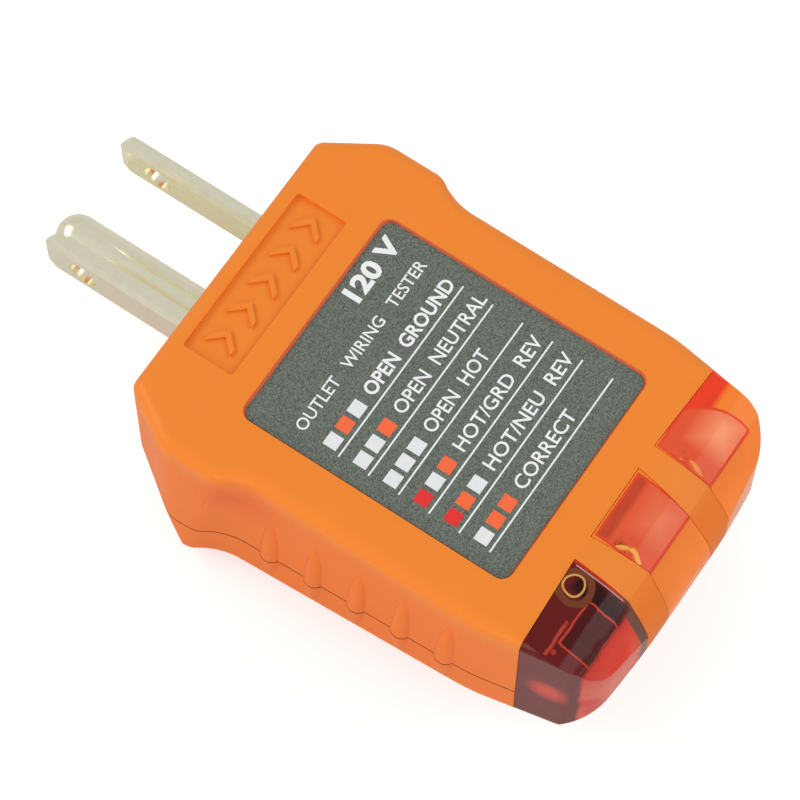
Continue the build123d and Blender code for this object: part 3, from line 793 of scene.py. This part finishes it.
def printed_bar(x0, x1, down0, down1, height, corner):
    """Flat bar of ink with round corners, standing on the label."""
    low, high = label_point(x0, down1), label_point(x1, down0)
    bpy.ops.object.select_all(action="DESELECT")
    bpy.ops.mesh.primitive_cube_add(size=1.0, location=(low + high) / 2 + Vector((0, 0, height / 2)))
    bar = bpy.context.object
    bar.scale = (high.x - low.x, high.y - low.y, height)
    apply_place(bar)
    bpy.ops.object.mode_set(mode="EDIT")
    bpy.ops.mesh.select_all(action="DESELECT")
    mesh = bmesh.from_edit_mesh(bar.data)
    for edge in mesh.edges:
        a, b = edge.verts
        edge.select_set(abs(a.co.z - b.co.z) > height / 2)
    bmesh.update_edit_mesh(bar.data)
    bpy.ops.mesh.bevel(offset=corner, segments=3, affect="EDGES")
    bpy.ops.object.mode_set(mode="OBJECT")
    return bar


def printed_words(words, x, down, height, ink_height, weight, width):
    """Capitals of ink with their left foot at x, down, drawn out to this width."""
    bpy.ops.object.select_all(action="DESELECT")
    bpy.ops.object.text_add(location=label_point(x, down))
    text = bpy.context.object
    text.data.body = words
    text.data.size = height / CAP_HEIGHT
    text.data.extrude = ink_height / 2
    text.data.offset = weight
    text.data.resolution_u = 3
    bpy.context.view_layer.update()
    text.scale.x = width / text.dimensions.x
    text.location.z += ink_height / 2
    bpy.context.view_layer.update()
    bpy.ops.object.convert(target="MESH")
    words_mesh = bpy.context.object
    apply_place(words_mesh)
    bpy.ops.object.mode_set(mode="EDIT")
    bpy.ops.mesh.select_all(action="SELECT")
    bpy.ops.mesh.remove_doubles(threshold=0.002 * MM)
    bpy.ops.object.mode_set(mode="OBJECT")
    return words_mesh


def row_down(index):
    """Distance of a row's rule from the label's top edge."""
    return (ROW_FIRST + ROW_PITCH * index) * MM


class TESTER_OT_legend(bpy.types.Operator):
    """Print the label: heading, title, and a rule, three light squares and a caption for each row"""

    bl_idname = "tester.legend"
    bl_label = "Printed legend"

    def execute(self, context):
        sizes = context.scene.tester_sizes
        lift = sizes.ink_height
        inks = {
            "W": ink("white_ink", (0.80, 0.82, 0.84, 1.0)),
            "O": ink("orange_ink", (0.95, 0.14, 0.035, 1.0)),
            "R": ink("red_ink", (0.80, 0.018, 0.018, 1.0)),
        }
        bars = {key: [] for key in inks}
        text_ink = ink("text_ink", (0.88, 0.90, 0.92, 1.0))
        rules, words = [], []
        left = RULE_LEFT * MM
        for index, (caption, length, lights) in enumerate(LEGEND_ROWS):
            down = row_down(index)
            rules.append(printed_bar(left, RULE_RIGHT * MM, down - sizes.rule_width / 2,
                                     down + sizes.rule_width / 2, lift, sizes.rule_width * 0.3))
            for place, light in enumerate(lights):
                x = left + (SQUARE_INSET + place * SQUARE_PITCH) * MM
                foot = down - SQUARE_LIFT * MM
                bars[light].append(printed_bar(x, x + sizes.square, foot - sizes.square, foot,
                                               lift, SQUARE_CORNER * MM))
            weight = CAPTION_WEIGHT if index else FIRST_CAPTION_WEIGHT
            words.append(printed_words(caption, left + CAPTION_INSET * MM, down - CAPTION_LIFT * MM,
                                       sizes.row_text, lift, weight * MM, length * MM))
        words.append(printed_words(TITLE, left + TITLE_INSET * MM, row_down(0) - TITLE_LIFT * MM,
                                   TITLE_HEIGHT * MM, lift, TITLE_WEIGHT * MM, TITLE_LENGTH * MM))
        words.append(printed_words(HEADING, HEADING_X * MM, HEADING_DOWN * MM, sizes.heading_text, lift,
                                   HEADING_WEIGHT * MM, HEADING_LENGTH * MM))
        pieces = [(join(rules, "legend_rules"), text_ink), (join(words, "legend_words"), text_ink)]
        for key, name in (("W", "legend_clear_squares"), ("O", "legend_orange_squares"),
                          ("R", "legend_red_squares")):
            pieces.append((join(bars[key], name), inks[key]))
        for piece, material in pieces:
            piece.data.materials.clear()
            piece.data.materials.append(material)
            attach(piece, "root")
        return {"FINISHED"}


# ---------------------------------------------------------------- studio

def area_light(name, place, size, power, colour):
    """Soft rectangular light that looks at the middle of the tester."""
    data = bpy.data.lights.new(name, "AREA")
    data.shape = "RECTANGLE"
    data.size, data.size_y = size
    data.energy = power
    data.color = colour
    lamp = bpy.data.objects.new(name, data)
    bpy.context.scene.collection.objects.link(lamp)
    lamp.location = place
    lamp.rotation_mode = "QUATERNION"
    target = (CAD_BOX[0] + CAD_BOX[1]) / 2
    lamp.rotation_quaternion = (target - Vector(place)).to_track_quat("-Z", "Y")


def studio_floor(colour):
    """Plain matt floor, with a glow that only the camera sees."""
    material, tree, shader, _ = start_material("studio_floor")
    shader.inputs["Base Color"].default_value = colour
    shader.inputs["Roughness"].default_value = 1.0
    shader.inputs["Specular IOR Level"].default_value = 0.0
    shader.inputs["Emission Color"].default_value = (1.0, 1.0, 1.0, 1.0)
    seen_directly = add(tree, "ShaderNodeLightPath").outputs["Is Camera Ray"]
    link(tree, ramp(tree, seen_directly, 0.0, 1.0, 0.0, FLOOR_GLOW), shader.inputs["Emission Strength"])
    return material


class TESTER_OT_studio(bpy.types.Operator):
    """Add the pale floor, the soft lights and the camera"""

    bl_idname = "tester.studio"
    bl_label = "Studio"

    def execute(self, context):
        scene = context.scene
        bpy.ops.object.select_all(action="DESELECT")
        bpy.ops.mesh.primitive_plane_add(size=6.0, location=(0, 0, CAD_BOX[0].z))
        floor = context.object
        floor.name = "floor"
        floor.data.materials.append(studio_floor(scene.tester_colours.floor))

        for light in LIGHTS:
            area_light(*light)
        world = bpy.data.worlds.new("studio_world")
        scene.world = world
        world.use_nodes = True
        background = world.node_tree.nodes["Background"]
        background.inputs["Color"].default_value = (1.0, 1.0, 1.0, 1.0)
        background.inputs["Strength"].default_value = SKY_STRENGTH
        scene.view_settings.view_transform = "Standard"

        data = bpy.data.cameras.new("camera")
        data.sensor_width = 36.0
        data.lens = CAMERA_LENS
        data.clip_start, data.clip_end = 0.01, 10.0
        camera = bpy.data.objects.new("camera", data)
        scene.collection.objects.link(camera)
        camera.location = Vector((0.0, PRONG_Y, FACE_Z)) + CAMERA_FROM
        camera.rotation_euler = [radians(turn) for turn in CAMERA_TURNS]
        scene.camera = camera
        return {"FINISHED"}


class TESTER_PT_panel(bpy.types.Panel):
    """Lists the tester's steps and settings"""

    bl_idname = "TESTER_PT_panel"
    bl_label = "Outlet tester"
    bl_space_type = "VIEW_3D"
    bl_region_type = "UI"
    bl_category = "Tester"

    def draw(self, context):
        for group in (context.scene.tester_sizes, context.scene.tester_colours):
            for name in group.bl_rna.properties.keys():
                if name not in ("rna_type", "name"):
                    self.layout.prop(group, name)
        for step in STEPS:
            self.layout.operator(step.bl_idname)


STEPS = (TESTER_OT_finishes, TESTER_OT_legend, TESTER_OT_studio)
CLASSES = (TesterSizes, TesterColours) + STEPS + (TESTER_PT_panel,)


def register():
    for item in CLASSES:
        bpy.utils.register_class(item)
    bpy.types.Scene.tester_sizes = PointerProperty(type=TesterSizes)
    bpy.types.Scene.tester_colours = PointerProperty(type=TesterColours)


def unregister():
    del bpy.types.Scene.tester_colours
    del bpy.types.Scene.tester_sizes
    for item in reversed(CLASSES):
        bpy.utils.unregister_class(item)


def main():
    """Runs every step once."""
    register()
    bpy.ops.tester.finishes()
    bpy.ops.tester.legend()
    bpy.ops.tester.studio()


if __name__ == "__main__":
    main()
